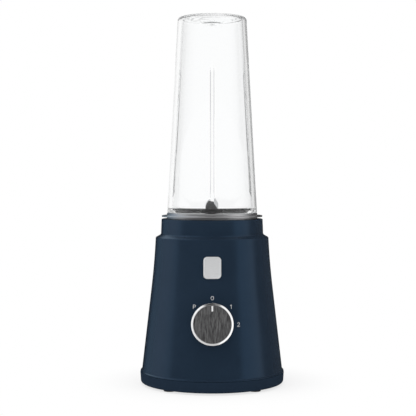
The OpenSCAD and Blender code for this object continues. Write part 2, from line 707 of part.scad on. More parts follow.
module bottle() color([0.85, 0.92, 0.95, 0.35]) {
    difference() {
        bottle_solid();
        bottle_hollow();
    }
    // flow ribs that stand in from the wall
    for (a = [0, 90, 180, 270]) rotate([0, 0, a]) difference() {
        box([20, 45], [-rib_w / 2, rib_w / 2], [168, rib_top_z]);
        bottle_core(bottle_t + rib_d);
        difference() {
            rod(60, 150, 310);
            bottle_core(bottle_t / 2);
        }
    }
    // thread segments on the neck
    for (i = [0 : lugs - 1]) rotate([0, 0, key_angle + i * third])
        ring_part(neck_r + 1.4, neck_r - 0.6, thread_z, thread_z + 2, -22, 22);
}

base_housing();
base_cover();
feet();
base_screws();
badge();
cord_gland();
cord_clamp();
clamp_screws();
cup_seat();
seat_screws();
terminal_block();
noise_capacitor();
wiring();
rotary_switch();
switch_nut();
switch_shaft();
knob_body();
knob_face();
knob_pointer();
upper_bracket();
lower_bracket();
motor_screws();
motor_mounts();
mount_screws();
stator();
field_coils();
upper_bearing();
lower_bearing();
brush_holders();
brushes();
motor_shaft();
armature_core();
armature_windings();
commutator();
cooling_fan();
drive_coupling();
interlock_switch();
interlock_pin();
interlock_spring();
blade_holder();
holder_ring();
bottle_seal();
blade_bearing();
shaft_seal();
blade_shaft();
blade_coupling();
blade_lower();
blade_upper();
blade_nut();
bottle();
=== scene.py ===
"""Looks of the countertop blender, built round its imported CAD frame. Metres, +Z up, the knob faces -Y."""
import json
import math

import bmesh
import bpy
from mathutils import Matrix, Vector


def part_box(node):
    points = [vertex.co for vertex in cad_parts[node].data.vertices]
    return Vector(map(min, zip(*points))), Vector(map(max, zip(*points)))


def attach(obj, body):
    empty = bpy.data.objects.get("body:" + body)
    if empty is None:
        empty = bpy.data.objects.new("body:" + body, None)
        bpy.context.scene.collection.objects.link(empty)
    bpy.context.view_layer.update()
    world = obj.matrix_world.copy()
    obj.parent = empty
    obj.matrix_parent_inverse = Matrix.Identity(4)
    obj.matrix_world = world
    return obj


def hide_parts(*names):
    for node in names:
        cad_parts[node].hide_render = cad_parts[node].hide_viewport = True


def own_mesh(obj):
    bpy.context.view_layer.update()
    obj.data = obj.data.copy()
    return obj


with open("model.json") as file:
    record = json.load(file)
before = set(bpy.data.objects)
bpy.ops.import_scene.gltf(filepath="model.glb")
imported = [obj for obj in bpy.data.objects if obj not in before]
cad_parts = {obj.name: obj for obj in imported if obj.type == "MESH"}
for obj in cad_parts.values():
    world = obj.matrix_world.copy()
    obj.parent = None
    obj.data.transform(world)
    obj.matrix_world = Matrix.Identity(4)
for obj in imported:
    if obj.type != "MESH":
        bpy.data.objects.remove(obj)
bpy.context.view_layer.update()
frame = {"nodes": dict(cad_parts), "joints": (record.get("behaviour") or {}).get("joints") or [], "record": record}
RECORD = frame["record"]
MM = 0.001
TURN = 2 * math.pi


# ---- places and sizes, from the frame ----

def high(node):
    """The highest corner of a CAD node's box."""
    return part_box(node)[1]


def low(node):
    """The lowest corner of a CAD node's box."""
    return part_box(node)[0]


def joint(name):
    return next(j for j in frame["joints"] if j["name"] == name)


TOP_Z = high("bottle").z
COLLAR_Z = high("base_housing").z
BAND_Z = (low("base_cover").z, high("base_cover").z)
BAND_R = high("base_cover").x
KNOB_CENTRE = Vector(joint("knob_turn")["pos_m"])
KNOB_AXIS = Vector(joint("knob_turn")["axis"]).normalized()
KNOB_R = high("knob_body").x
KNOB_H = 11 * MM                          # how far the knob stands out of the wall
WALL_FOOT_Z = BAND_Z[1] + 0.1 * MM
WALL_FOOT_R = BAND_R - 1.345 * MM
WALL_LEAN = math.asin(KNOB_AXIS.z)        # the knob stands square to the wall
FLARE_Z = 88 * MM                         # where the wall begins to ease towards upright
SHOULDER_Z = COLLAR_Z - 16.6 * MM
SHOULDER_SLOPE = 0.05                     # the slope that the wall still has at the shoulder
RING_R = 40.8 * MM
RING_TOP = high("holder_ring").z
FLANGE_R = high("holder_ring").x
BOTTLE_R = high("bottle").x
BOTTLE_Z = RING_TOP + 0.3 * MM            # the bottle's shoulder, just over the ring
BOTTLE_WALL = 3.8 * MM
BOTTLE_LEAN = math.radians(3.14)


def wall_r(z):
    """Radius of the housing's wall: a cone that eases towards upright above FLARE_Z, as in the CAD."""
    slope = math.tan(WALL_LEAN)
    bend = (slope - SHOULDER_SLOPE) / (SHOULDER_Z - FLARE_Z)
    return WALL_FOOT_R - slope * (z - WALL_FOOT_Z) + bend * max(0, z - FLARE_Z) ** 2 / 2


def bottle_r(z):
    """Radius of the bottle's outside, which narrows upwards."""
    return BOTTLE_R - math.tan(BOTTLE_LEAN) * (z - BOTTLE_Z)


# ---- mesh tools ----

def arc_steps(start, end, centre, steps):
    """Points from start to end on a circle round centre, the short way."""
    a, b = start - centre, end - centre
    sweep = math.atan2(a.x * b.y - a.y * b.x, a.dot(b))
    return [centre + Matrix.Rotation(sweep * k / steps, 2) @ a for k in range(steps + 1)]


def rounded(corners, steps=6):
    """A closed outline in metres, through corners (x, y, rounding radius) in millimetres."""
    points = []
    for i, (x, y, radius) in enumerate(corners):
        here = Vector((x, y))
        if not radius:
            points.append(here)
            continue
        before = (Vector(corners[i - 1][:2]) - here).normalized()
        after = (Vector(corners[(i + 1) % len(corners)][:2]) - here).normalized()
        half = before.angle(after) / 2
        centre = here + (before + after).normalized() * radius / math.sin(half)
        reach = radius / math.tan(half)
        points += arc_steps(here + before * reach, here + after * reach, centre, steps)
    return [p * MM for p in points]


def new_object(name, data):
    """An object of a mesh, light or camera, in the scene."""
    obj = bpy.data.objects.new(name, data)
    bpy.context.scene.collection.objects.link(obj)
    return obj


def from_bmesh(name, bm, sharp=35):
    """An object from a bmesh, smooth except at edges that bend by more than sharp degrees."""
    bmesh.ops.remove_doubles(bm, verts=bm.verts, dist=1e-7)
    bmesh.ops.recalc_face_normals(bm, faces=bm.faces)
    mesh = bpy.data.meshes.new(name)
    bm.to_mesh(mesh)
    bm.free()
    mesh.shade_smooth()
    mesh.set_sharp_from_angle(angle=math.radians(sharp))
    return new_object(name, mesh)


def add_lathe(bm, outline, angles=None, radius_at=None, matrix=Matrix(), segments=160):
    """Turns a closed outline of (radius, height) round Z. radius_at(r, z, angle) may move a point."""
    angles = angles or [TURN * i / segments for i in range(segments)]
    rings = []
    for r, z in outline:
        if r < 1e-6:
            rings.append([bm.verts.new(matrix @ Vector((0, 0, z)))])
            continue
        ring = []
        for a in angles:
            rr = radius_at(r, z, a) if radius_at else r
            ring.append(bm.verts.new(matrix @ Vector((rr * math.cos(a), rr * math.sin(a), z))))
        rings.append(ring)
    pairs = list(zip(rings, rings[1:]))
    if len(rings[0]) > 1 or len(rings[-1]) > 1:
        pairs.append((rings[-1], rings[0]))
    n = len(angles)
    for one, two in pairs:
        for i in range(n):
            j = (i + 1) % n
            corners = [one[i % len(one)], one[j % len(one)], two[j % len(two)], two[i % len(two)]]
            loop = list(dict.fromkeys(corners))
            if len(loop) > 2:
                bm.faces.new(loop)


def lathe(name, outline, **how):
    """An object from one turned outline."""
    bm = bmesh.new()
    add_lathe(bm, outline, **how)
    return from_bmesh(name, bm)


def add_prism(bm, outline, z0, z1, matrix=Matrix()):
    """A flat outline pulled from z0 to z1."""
    rows = [[bm.verts.new(matrix @ Vector((x, y, z))) for x, y in outline] for z in (z0, z1)]
    bm.faces.new(rows[0][::-1])
    bm.faces.new(rows[1])
    for i in range(len(outline)):
        j = (i + 1) % len(outline)
        bm.faces.new((rows[0][i], rows[0][j], rows[1][j], rows[1][i]))


def join_rings(bm, rings):
    """Skins a stack of closed loops and closes both ends."""
    bm.faces.new(rings[0][::-1])
    bm.faces.new(rings[-1])
    for one, two in zip(rings, rings[1:]):
        for i in range(len(one)):
            j = (i + 1) % len(one)
            bm.faces.new((one[i], one[j], two[j], two[i]))


def slab(w, h, radius, steps=6):
    """Outline of a rectangle with round corners, w and h from its middle, in millimetres."""
    return rounded([(w, -h, radius), (w, h, radius), (-w, h, radius), (-w, -h, radius)], steps)


def subtract(obj, cutter_bm):
    """Cuts the closed solids of a bmesh out of an object, and returns the object."""
    bmesh.ops.recalc_face_normals(cutter_bm, faces=cutter_bm.faces)
    mesh = bpy.data.meshes.new("cutter")
    cutter_bm.to_mesh(mesh)
    cutter_bm.free()
    cutter = new_object("cutter", mesh)
    mod = obj.modifiers.new("cut", "BOOLEAN")
    mod.operation = "DIFFERENCE"
    mod.solver = "EXACT"
    mod.object = cutter
    graph = bpy.context.evaluated_depsgraph_get()
    result = bpy.data.meshes.new_from_object(obj.evaluated_get(graph))
    obj.modifiers.clear()
    obj.data = result
    result.shade_smooth()
    result.set_sharp_from_angle(angle=math.radians(35))
    bpy.data.objects.remove(cutter)
    return obj


def frame_on_wall(centre, outward):
    """Matrix of a local frame at centre: +Z outward, +X along the world's X, and +Y up the wall."""
    x = Vector((1, 0, 0))
    y = outward.cross(x)
    return Matrix((
        (x.x, y.x, outward.x, centre.x),
        (x.y, y.y, outward.y, centre.y),
        (x.z, y.z, outward.z, centre.z),
        (0, 0, 0, 1),
    ))


KNOB_FRAME = frame_on_wall(KNOB_CENTRE, KNOB_AXIS)


# ---- materials ----

class Nodes:
    """Short calls that build a node tree."""

    def __init__(self, tree):
        self.tree = tree

    def add(self, kind, **settings):
        node = self.tree.nodes.new(kind)
        for key, value in settings.items():
            setattr(node, key, value)
        return node

    def link(self, output, socket):
        self.tree.links.new(output, socket)

    def maths(self, operation, a, b=None):
        node = self.add("ShaderNodeMath", operation=operation)
        for socket, value in zip(node.inputs, (a, b)):
            if isinstance(value, (int, float)):
                socket.default_value = value
            elif value is not None:
                self.link(value, socket)
        return node.outputs[0]


class Finish(Nodes):
    """A Principled material with colour, roughness and bump from noise in the object's coordinates."""

    def __init__(self, name, roughness, metallic=0.0, **sockets):
        self.mat = bpy.data.materials.new(name)
        self.mat.use_nodes = True
        super().__init__(self.mat.node_tree)
        self.shader = self.tree.nodes["Principled BSDF"]
        self.shader.inputs["Roughness"].default_value = roughness
        self.shader.inputs["Metallic"].default_value = metallic
        for key, value in sockets.items():
            self.shader.inputs[key.replace("_", " ").title().replace("Ior", "IOR")].default_value = value
        self.place = self.add("ShaderNodeTexCoord").outputs["Object"]

    def stretched(self, scale, rotation=(0, 0, 0)):
        """The object's coordinates, turned and then scaled along each axis."""
        turn = self.add("ShaderNodeMapping", vector_type="POINT")
        turn.inputs["Rotation"].default_value = rotation
        self.link(self.place, turn.inputs["Vector"])
        size = self.add("ShaderNodeMapping", vector_type="POINT")
        size.inputs["Scale"].default_value = scale
        self.link(turn.outputs[0], size.inputs["Vector"])
        return size.outputs[0]

    def turned(self, across, along):
        """Coordinates (radius, angle, height), so that noise runs in rings round Z as on a turned part."""
        split = self.add("ShaderNodeSeparateXYZ")
        self.link(self.place, split.inputs[0])
        x, y, z = split.outputs
        squares = self.maths("ADD", self.maths("MULTIPLY", x, x), self.maths("MULTIPLY", y, y))
        r = self.maths("SQRT", squares)
        angle = self.maths("ARCTAN2", y, x)
        join = self.add("ShaderNodeCombineXYZ")
        self.link(self.maths("MULTIPLY", r, across), join.inputs[0])
        self.link(self.maths("MULTIPLY", self.maths("SINE", angle), along), join.inputs[1])
        self.link(self.maths("MULTIPLY", z, across), join.inputs[2])
        return join.outputs[0]

    def noise(self, vector, scale=1.0, detail=2.0, roughness=0.5):
        node = self.add("ShaderNodeTexNoise")
        node.inputs["Scale"].default_value = scale
        node.inputs["Detail"].default_value = detail
        node.inputs["Roughness"].default_value = roughness
        self.link(vector, node.inputs["Vector"])
        return node.outputs["Fac"]

    def range(self, value, low_in, high_in, low_out, high_out):
        node = self.add("ShaderNodeMapRange")
        for i, v in enumerate((low_in, high_in, low_out, high_out)):
            node.inputs[i + 1].default_value = v
        self.link(value, node.inputs[0])
        return node.outputs[0]

    def colour(self, dark, light, by, low_in=0.35, high_in=0.65):
        ramp = self.add("ShaderNodeValToRGB")
        ramp.color_ramp.elements[0].position = low_in
        ramp.color_ramp.elements[0].color = (*dark, 1)
        ramp.color_ramp.elements[1].position = high_in
        ramp.color_ramp.elements[1].color = (*light, 1)
        self.link(by, ramp.inputs[0])
        self.link(ramp.outputs[0], self.shader.inputs["Base Color"])
        return self

    def rough(self, by, low_out, high_out):
        self.link(self.range(by, 0.3, 0.7, low_out, high_out), self.shader.inputs["Roughness"])
        return self

    def bump(self, by, depth, strength=1.0):
        node = self.add("ShaderNodeBump")
        node.inputs["Strength"].default_value = strength
        node.inputs["Distance"].default_value = depth
        self.link(by, node.inputs["Height"])
        self.link(node.outputs[0], self.shader.inputs["Normal"])
        return self


def shades(colour, spread):
    """A colour's darker and lighter shade."""
    return [c * (1 - spread) for c in colour], [min(1, c * (1 + spread)) for c in colour]


def moulded(name, colour, roughness, grain=3500, depth=0.004 * MM, spread=0.06, **sockets):
    """Moulded plastic or rubber: a fine grain, and faint broad changes of colour and gloss."""
    f = Finish(name, roughness, **sockets)
    broad = f.noise(f.place, 45, 3)
    fine = f.noise(f.place, grain, 2, 0.6)
    f.colour(*shades(colour, spread), broad)
    f.rough(broad, roughness - 0.03, roughness + 0.03)
    f.bump(fine, depth)
    return f.mat


def metal(name, colour, roughness, spread=0.12, depth=0.003 * MM, metallic=1.0):
    """Plain worked metal with faint scratches one way."""
    f = Finish(name, roughness, metallic)
    streaks = f.noise(f.stretched((300, 300, 4000)), 1, 3, 0.6)
    f.colour(*shades(colour, spread), streaks)
    f.rough(streaks, roughness - 0.06, roughness + 0.08)
    f.bump(streaks, depth)
    return f.mat


def plain_metal(name, colour, roughness):
    """Plated metal, smooth but for faint clouds in its gloss."""
    f = Finish(name, roughness, 1.0)
    clouds = f.noise(f.place, 60, 3)
    f.colour(*shades(colour, 0.02), clouds)
    f.rough(clouds, roughness - 0.03, roughness + 0.03)
    return f.mat


def turned_metal(name, colour, roughness, spread=0.08, depth=0.004 * MM):
    """Metal brushed in rings round the blender's axis."""
    f = Finish(name, roughness, 1.0, anisotropic=0.55)
    rings = f.noise(f.turned(2600, 2.5), 1, 3, 0.65)
    f.colour(*shades(colour, spread), rings)
    f.rough(rings, roughness - 0.05, roughness + 0.07)
    f.bump(rings, depth)
    tangent = f.add("ShaderNodeTangent", direction_type="RADIAL", axis="Z")
    f.link(tangent.outputs[0], f.shader.inputs["Tangent"])
    return f.mat


def knob_disc_finish():
    """Dark metal with a coarse brushing up and down the wall."""
    f = Finish("knob_disc_finish", 0.42, 0.8)
    lean = (-(math.pi / 2 - WALL_LEAN), 0, 0)
    fine = f.noise(f.stretched((3200, 260, 260), lean), 1, 4, 0.75)
    coarse = f.noise(f.stretched((1100, 110, 110), lean), 1, 2, 0.5)
    mix = f.maths("ADD", f.maths("MULTIPLY", fine, 0.55), f.maths("MULTIPLY", coarse, 0.45))
    f.colour((0.02, 0.02, 0.021), (0.36, 0.36, 0.365), mix, 0.36, 0.66)
    f.rough(fine, 0.36, 0.52)
    f.bump(mix, 0.012 * MM)
    return f.mat


def clear_finish():
    """Clear bottle plastic with the faint waves that a moulded wall has."""
    f = Finish("clear_finish", 0.0, transmission_weight=1.0, ior=1.42)
    f.shader.inputs["Base Color"].default_value = (0.992, 0.996, 0.998, 1)
    waves = f.noise(f.stretched((26, 26, 9)), 1, 1)
    f.bump(waves, 0.05 * MM, 0.25)
    return f.mat


def painted(name, colour, roughness):
    """Paint with a very fine speckle."""
    f = Finish(name, roughness)
    speckle = f.noise(f.place, 6000, 2)
    f.colour(*shades(colour, 0.04), speckle)
    f.bump(speckle, 0.002 * MM)
    return f.mat


NAVY = (0.0121, 0.0211, 0.0352)
BAND_NAVY = (0.0143, 0.025, 0.042)
SHEEN = (0.27, 0.57, 1.0, 1)              # the navy's reflections are bluish
FINISHES = {
    "body_navy": moulded(
        "body_navy_finish", NAVY, 0.2, spread=0.04, specular_ior_level=0.33, specular_tint=SHEEN,
    ),
    "band_navy": moulded(
        "band_navy_finish", BAND_NAVY, 0.6, spread=0.04, specular_ior_level=0.03, specular_tint=SHEEN,
    ),
    "rubber": moulded("rubber_finish", (0.012, 0.012, 0.013), 0.7, 1800, 0.02 * MM),
    "screw_steel": metal("screw_steel_finish", (0.55, 0.56, 0.57), 0.3),
    "badge_metal": metal("badge_metal_finish", (0.83, 0.84, 0.85), 0.35, 0.04, metallic=0.5),
    "black_plastic": moulded("black_plastic_finish", (0.02, 0.02, 0.022), 0.42),
    "switch_plastic": moulded("switch_plastic_finish", (0.035, 0.035, 0.038), 0.5),
    "cream_plastic": moulded("cream_plastic_finish", (0.6, 0.57, 0.48), 0.5),
    "yellow_film": moulded("yellow_film_finish", (0.55, 0.4, 0.06), 0.25),
    "wire_copper": metal("wire_copper_finish", (0.6, 0.2, 0.07), 0.32, 0.2),
    "knob_chrome": plain_metal("knob_chrome_finish", (0.96, 0.96, 0.965), 0.13),
    "knob_dark": knob_disc_finish(),
    "pointer_white": painted("pointer_white_finish", (0.8, 0.8, 0.8), 0.35),
    "cast_alloy": moulded("cast_alloy_finish", (0.42, 0.43, 0.44), 0.45, 1500, 0.03 * MM, metallic=0.9),
    "lamination": metal("lamination_finish", (0.2, 0.21, 0.22), 0.5, 0.25),
    "bearing_steel": turned_metal("bearing_steel_finish", (0.6, 0.6, 0.61), 0.2),
    "brush_carbon": moulded("brush_carbon_finish", (0.02, 0.02, 0.02), 0.6),
    "brass": metal("brass_finish", (0.65, 0.45, 0.16), 0.3),
    "fan_nylon": moulded("fan_nylon_finish", (0.05, 0.05, 0.052), 0.5),
    "pin_red": moulded("pin_red_finish", (0.45, 0.04, 0.03), 0.4),
    "spring_steel": metal("spring_steel_finish", (0.5, 0.5, 0.5), 0.3),
    "ring_steel": turned_metal("ring_steel_finish", (0.52, 0.52, 0.53), 0.34),
    "seal_silicone": moulded("seal_silicone_finish", (0.65, 0.66, 0.67), 0.5),
    "shaft_seal_rubber": moulded("shaft_seal_finish", (0.3, 0.03, 0.02), 0.6),
    "blade_steel": metal("blade_steel_finish", (0.72, 0.73, 0.74), 0.22, 0.06, metallic=0.75),
    "clear_bottle": clear_finish(),
}


def put(obj, body, slot, *nodes):
    """Rides obj on a body, gives it the finish of a material slot, and lets it stand for CAD nodes."""
    obj.data.materials.clear()
    obj.data.materials.append(FINISHES[slot])
    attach(obj, body)
    if nodes:
        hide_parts(*nodes)
    return obj


# ---- base ----

def housing():
    """The flared shell with its foot lip, shoulder and collar, open below and at the mouth."""
    top, shoulder, flare = COLLAR_Z / MM, SHOULDER_Z / MM, FLARE_Z / MM
    foot, lip = BAND_Z[1] / MM + 0.2, BAND_R / MM
    collar, liner, spigot, shell = 45.7, 43.2, 60.65, 2.5

    def r(z):
        return wall_r(z * MM) / MM

    rows = [flare + (shoulder - 1.5 - flare) * i / 14 for i in range(15)]
    foot_lip = [
        (spigot - 1.75, foot - 2.6, 0), (spigot, foot - 2.6, 0.3), (spigot, foot, 0.1), (lip, foot, 0.35),
        (lip - 0.3, foot + 0.75, 0.4), (r(foot + 1.4) + 0.1, foot + 1.4, 0.9), (r(foot + 2.6), foot + 2.6, 0),
    ]
    outside = [(r(z), z, 0) for z in rows]
    mouth = [
        (r(shoulder), shoulder, 1.1), (collar + 1.2, shoulder + 2.3, 0.9),
        (collar + 0.5, shoulder + 3.3, 0.5), (collar, top, 0.7), (liner, top, 0.6),
        (liner, shoulder + 2.5, 0.5), (r(shoulder) - shell - 0.4, shoulder - 1.5, 1),
    ]
    inside = [(r(z) - shell, z, 0) for z in reversed(rows[:-1])]
    foot_inside = [(r(18) - shell, 18, 0.5), (58.6, 15.5, 0.4)]
    outline = rounded(foot_lip + outside + mouth + inside + foot_inside)
    put(lathe("housing_shell", outline, segments=256), "motor_base", "body_navy", "base_housing")


def knob_pad():
    """Round pad on the wall behind the knob."""
    r = KNOB_R / MM - 1.4
    outline = rounded([(0, -5, 0), (r, -5, 0), (r, 0.3, 0.5), (0, 0.3, 0)])
    put(lathe("knob_pad", outline, matrix=KNOB_FRAME), "motor_base", "body_navy")


def fastener_places(node):
    """The middle of each of four solids that lie one to a quadrant, from the node's own points."""
    points = [v.co for v in frame["nodes"][node].data.vertices]
    places = []
    for sx in (-1, 1):
        for sy in (-1, 1):
            mine = [p for p in points if p.x * sx > 0 and p.y * sy > 0]
            x = (min(p.x for p in mine) + max(p.x for p in mine)) / 2
            y = (min(p.y for p in mine) + max(p.y for p in mine)) / 2
            places.append(Vector((x, y, 0)))
    return places


def add_air_slots(bm):
    """Cutters for two rows of slots that fill a round patch under the motor."""
    pitch, patch, web, width = 6, 30, 2, 2.6
    for column in range(-4, 5):
        x = column * pitch
        length = math.sqrt(patch ** 2 - x * x) - web
        slot = slab(width / 2, length / 2, width / 2 * 0.999)
        for side in (-1, 1):
            middle = Vector((x, side * (web + length / 2), 0)) * MM
            add_prism(bm, slot, -1 * MM, 8 * MM, Matrix.Translation(middle))


def add_recesses(bm, node, radius, depth):
    """Cutters for a round recess in the floor at each solid of a node."""
    top = BAND_Z[0] + depth
    for centre in fastener_places(node):
        outline = [(0, -1 * MM), (radius, -1 * MM), (radius, top), (0, top)]
        add_lathe(bm, outline, segments=32, matrix=Matrix.Translation(centre))


def band():
    """The foot band and the floor behind it, with its air slots and recesses."""
    z0, z1 = BAND_Z[0] / MM, BAND_Z[1] / MM
    r = BAND_R / MM
    outline = rounded([
        (0, z0, 0), (r - 0.55, z0, 2), (r, z1 - 1.4, 2), (r, z1, 0.35), (61, z1, 0.2), (61, z0 + 4, 1),
        (59, z0 + 2.5, 1), (0, z0 + 2.5, 0),
    ], 8)
    cover = lathe("foot_band", outline, segments=192)
    cut = bmesh.new()
    add_air_slots(cut)
    add_recesses(cut, "base_screws", 3.6 * MM, 1.4 * MM)
    add_recesses(cut, "feet", 5.5 * MM, 1.0 * MM)
    put(subtract(cover, cut), "motor_base", "band_navy", "base_cover")


def feet():
    """Four rubber feet, each with a shallow cup underneath."""
    top = BAND_Z[0] / MM + 1
    outline = rounded(
        [(0, 1.2, 0), (3.1, 0.8, 0.3), (3.8, 0, 0.2), (5.4, 0, 0.25), (5.4, top, 0), (0, top, 0)], 3,
    )
    bm = bmesh.new()
    for centre in fastener_places("feet"):
        add_lathe(bm, outline, segments=40, matrix=Matrix.Translation(centre))
    put(from_bmesh("rubber_feet", bm), "motor_base", "rubber", "feet")


def badge():
    """A plain plate with round corners, a soft raised rim and a flat middle."""
    lo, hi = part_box("badge")
    z = (lo.z + hi.z) / 2
    half_w, half_h, corner = (hi.x - lo.x) / MM / 2, 9.5, 3.4
    slope = (wall_r(z - MM) - wall_r(z + MM)) / (2 * MM)
    place = frame_on_wall(Vector((0, -wall_r(z), z)), Vector((0, -1, slope)).normalized())
    side = [(0, -0.7), (0, 1.0), (0.1, 1.22), (0.3, 1.3)]
    rim = [(0.85, 1.3), (1.05, 1.22), (1.25, 0.85), (1.5, 0.8)]
    bm = bmesh.new()
    rings = []
    for inset, up in side + rim:
        outline = slab(half_w - inset, half_h - inset, corner - inset, 8)
        rings.append([bm.verts.new(place @ Vector((x, y, up * MM))) for x, y in outline])
    join_rings(bm, rings)
    put(from_bmesh("badge_plate", bm, 40), "motor_base", "badge_metal", "badge")


def cord_gland():
    """Rubber gland with three rings on its sleeve, and the wall's boss round it."""
    z = (low("cord_gland").z + high("cord_gland").z) / 2
    place = Matrix.Translation((0, 0, z)) @ Matrix.Rotation(-math.pi / 2, 4, "X")
    bore, end = 3.6, high("cord_gland").y / MM
    outline = [
        (bore, 53, 0), (7.4, 53, 0.3), (7.4, 55.8, 0), (5.9, 55.8, 0), (5.9, 64, 0), (8, 64, 0),
        (8, 65.4, 0.5), (6.1, 65.7, 0.3),
    ]
    for k in range(3):
        y = 67.2 + k * 1.7
        crest, groove = 5.8 - k * 0.25, 5.05 - k * 0.15
        outline += [(crest, y - 0.1, 0.2), (groove, y, 0.15), (groove, y + 0.8, 0.15)]
        outline += [(5.6 - k * 0.2, y + 0.9, 0.2)]
    outline += [(5, end, 0.3), (bore, end, 0.3)]
    put(lathe("gland", rounded(outline, 3), segments=72, matrix=place), "motor_base", "rubber", "cord_gland")
    boss = rounded([(6, 57, 0), (9.5, 57, 0), (9.5, 64, 0.8), (6, 64, 0.2)])
    put(lathe("cord_boss", boss, segments=72, matrix=place), "motor_base", "body_navy")


def pin_spring():
    """Coil round the interlock pin."""
    lo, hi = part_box("interlock_spring")
    middle = (lo + hi) / 2
    wire, turns, steps = 0.35 * MM, 5, 20
    radius = (hi.x - lo.x) / 2 - wire
    rise = hi.z - lo.z - 2 * wire
    up = Vector((0, 0, 1))
    round_wire = [TURN * k / 8 for k in range(8)]
    bm = bmesh.new()
    rings = []
    for i in range(turns * steps + 1):
        t = i / steps
        out = Vector((math.cos(t * TURN), math.sin(t * TURN), 0))
        centre = Vector((middle.x, middle.y, lo.z + wire + rise * t / turns)) + out * radius
        section = [centre + (out * math.cos(a) + up * math.sin(a)) * wire for a in round_wire]
        rings.append([bm.verts.new(point) for point in section])
    join_rings(bm, rings)
    coil = put(from_bmesh("pin_spring", bm), "motor_base", "spring_steel", "interlock_spring")
    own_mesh(coil)


def bow(x, y, radius, start, end, steps=10):
    """Points of an arc for a mark, in millimetres."""
    turns = [math.radians(start + (end - start) * i / steps) for i in range(steps + 1)]
    return [(x + radius * math.cos(t), y + radius * math.sin(t)) for t in turns]


def mark_strokes(text):
    """The strokes of a dial mark, as lines of points in millimetres about its middle."""
    if text == "P":
        bowl = [(-1.3, 2), (0.3, 2)] + bow(0.3, 0.9, 1.1, 90, -90) + [(-1.3, -0.2)]
        return [[(-1.3, -2.2), (-1.3, 2.2)], bowl]
    if text == "0":
        return [[(x, y * 1.4) for x, y in bow(0, 0, 1.45, 0, 360, 24)]]
    if text == "1":
        return [[(0.5, -2.2), (0.5, 2.2)], [(0.5, 2.1), (-0.9, 1.1)]]
    return [bow(0, 0.85, 1.25, 165, -38) + [(-1.3, -2)], [(-1.5, -2.05), (1.5, -2.05)]]


def add_stroke(bm, line, half, place):
    """A thin ribbon along a line of points; place(x, y, out) puts a point of it on the object."""
    points = [Vector(p) for p in line]
    rings = []
    for i, p in enumerate(points):
        along = (points[min(i + 1, len(points) - 1)] - points[max(i - 1, 0)]).normalized()
        side = Vector((-along.y, along.x)) * half
        corners = [(p - side, -0.05), (p + side, -0.05), (p + side, 0.05), (p - side, 0.05)]
        rings.append([bm.verts.new(place(q.x, q.y, out)) for q, out in corners])
    join_rings(bm, rings)


def on_wall(across, up):
    """A function that puts a mark's points on the curved wall, across and up from the knob's axis."""
    size = 0.78

    def place(x, y, out):
        z = KNOB_CENTRE.z + (up + y * size) * MM * math.cos(WALL_LEAN)
        wide = (across + x * size) * MM
        return Vector((wide, -math.sqrt(wall_r(z) ** 2 - wide * wide) - out * MM, z))

    return place


def dial_marks():
    """Thin white marks on the wall round the knob."""
    for text, across, up in (("P", -15.4, 14.7), ("0", 0, 22.3), ("1", 16, 14.7), ("2", 22.6, -0.8)):
        bm = bmesh.new()
        for line in mark_strokes(text):
            add_stroke(bm, line, 0.19, on_wall(across, up))
        put(from_bmesh("dial_mark_" + text, bm), "motor_base", "pointer_white")


# ---- knob ----

def knob_shell():
    """Bright rim with a chamfered edge, hollow behind round a hub."""
    r, h = KNOB_R / MM, KNOB_H / MM
    hub, inner = 5.6, r - 2.2
    back = [(0, 3.6, 0), (hub, 3.6, 0.3), (hub, 6.6, 0.3), (inner, 6.6, 0.6), (inner, 0.9, 0.2)]
    side = [(r, 0.9, 0.4), (r, h - 1.4, 0.3)]
    rim = [(r - 1.7, h, 0.3), (r - 1.9, h - 0.1, 0.05), (r - 1.9, h - 1.6, 0), (0, h - 1.6, 0)]
    outline = rounded(back + side + rim, 7)
    shell = lathe("knob_shell", outline, matrix=KNOB_FRAME, segments=192)
    put(shell, "speed_knob", "knob_chrome", "knob_body")


def knob_disc():
    """Brushed disc let into the rim, very slightly crowned."""
    r, h = KNOB_R / MM - 1.95, KNOB_H / MM
    face = rounded([(0, h - 1.6, 0), (r, h - 1.6, 0), (r, h - 0.8, 0.15), (0, h - 0.72, 0)], 4)
    put(lathe("knob_disc", face, matrix=KNOB_FRAME, segments=160), "speed_knob", "knob_dark", "knob_face")


def knob_pointer():
    """The white line on the disc that points at the marks."""
    h = KNOB_H / MM
    half_w, half_l = 0.68, 2.3
    place = KNOB_FRAME @ Matrix.Translation((0, KNOB_R - 4.8 * MM, 0))
    bm = bmesh.new()
    add_prism(bm, slab(half_w, half_l, 0.25, 3), (h - 1.2) * MM, (h - 0.66) * MM, place)
    put(from_bmesh("pointer_line", bm), "speed_knob", "pointer_white", "knob_pointer")


# ---- blade holder, blades and bottle ----

def holder_ring():
    """Steel ring with a thin flange, pressed from sheet with soft edges."""
    foot, top = low("holder_ring").z / MM, RING_TOP / MM
    r, flange = RING_R / MM, FLANGE_R / MM
    under, over = 150.9, 152.3
    inside, lip = 38.6, 36.9
    outline = rounded([
        (inside, foot, 0), (r, foot, 0.3), (r, under, 0.35), (flange, under, 0.6), (flange, over, 0.6),
        (r, over, 0.5), (r, top, 0.4), (lip, top, 0.1), (lip, top - 0.4, 0), (inside, top - 0.4, 0),
    ], 5)
    put(lathe("steel_ring", outline, segments=256), "cup_base", "ring_steel", "holder_ring")


BLADE_REACH, BLADE_HUB, BLADE_T = 27.0, 8.6, 1.4      # millimetres from the axis, and the thickness
BLADE_BEND = 2.2                                      # half the length over which a wing bends


def blade_rise(s, angle):
    """How far a blade's underside stands over its hub, s from the axis."""
    d = max(-BLADE_BEND, min(BLADE_BEND, abs(s) - BLADE_HUB))
    t = (d + BLADE_BEND) / (2 * BLADE_BEND)
    return math.tan(angle) * (max(0, abs(s) - BLADE_HUB - BLADE_BEND) + BLADE_BEND * t * t)


